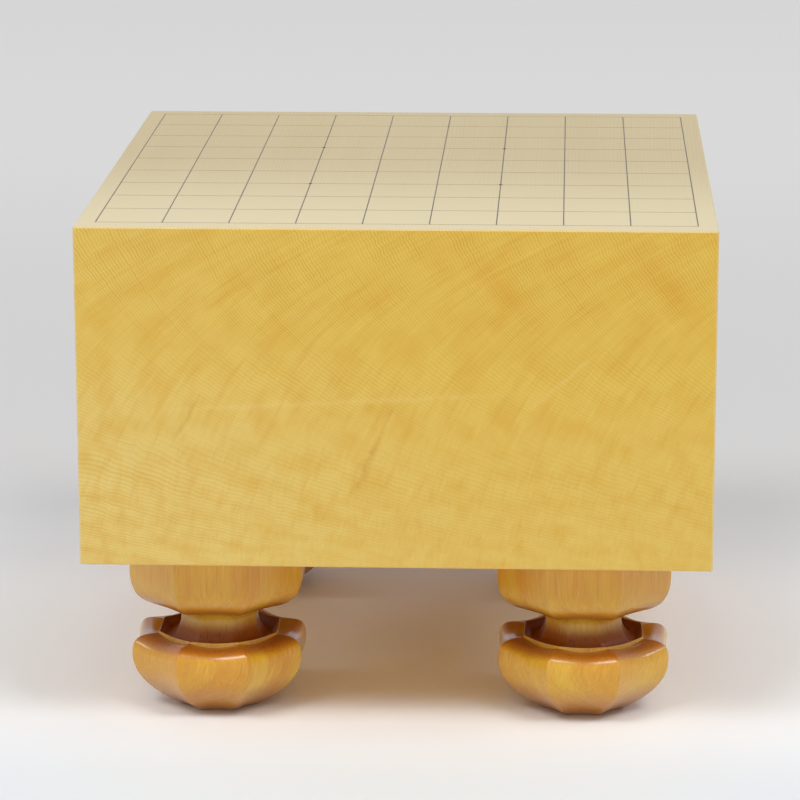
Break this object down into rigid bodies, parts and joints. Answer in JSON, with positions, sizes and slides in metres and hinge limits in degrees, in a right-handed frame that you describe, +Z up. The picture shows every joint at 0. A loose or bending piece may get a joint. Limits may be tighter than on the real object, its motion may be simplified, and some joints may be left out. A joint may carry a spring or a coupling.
{
  "type": "shogi board",
  "caption": "Thick solid wooden board on carved octagonal legs, with a lacquered square grid on top for playing shogi while seated on the floor.",
  "frame": {"origin": "on the floor, under the centre of the board", "axes": "+Z up, out of the playing surface; Y runs between the two players, with -Y the near end grain; X runs across the files, with +X to the near player's right"},
  "size_m": [0.333, 0.364, 0.2774],
  "materials": {
    "kaya": "waxed satin",
    "varnished_wood": "gloss varnish",
    "lacquer": "semi-gloss lacquer"
  },
  "bodies": {
    "board": {"board_block": "kaya", "grid_lines": "lacquer", "star_points": "lacquer"},
    "front_left_leg": {"leg_front_left": "varnished_wood"},
    "front_right_leg": {"leg_front_right": "varnished_wood"},
    "back_left_leg": {"leg_back_left": "varnished_wood"},
    "back_right_leg": {"leg_back_right": "varnished_wood"}
  },
  "joints": [
    {"name": "front_left_tenon", "type": "slide", "parent": "board", "child": "front_left_leg", "axis": [0, 0, -1], "range_m": [0, 0.036]},
    {"name": "front_right_tenon", "type": "slide", "parent": "board", "child": "front_right_leg", "axis": [0, 0, -1], "range_m": [0, 0.036]},
    {"name": "back_left_tenon", "type": "slide", "parent": "board", "child": "back_left_leg", "axis": [0, 0, -1], "range_m": [0, 0.036]},
    {"name": "back_right_tenon", "type": "slide", "parent": "board", "child": "back_right_leg", "axis": [0, 0, -1], "range_m": [0, 0.036]}
  ]
}
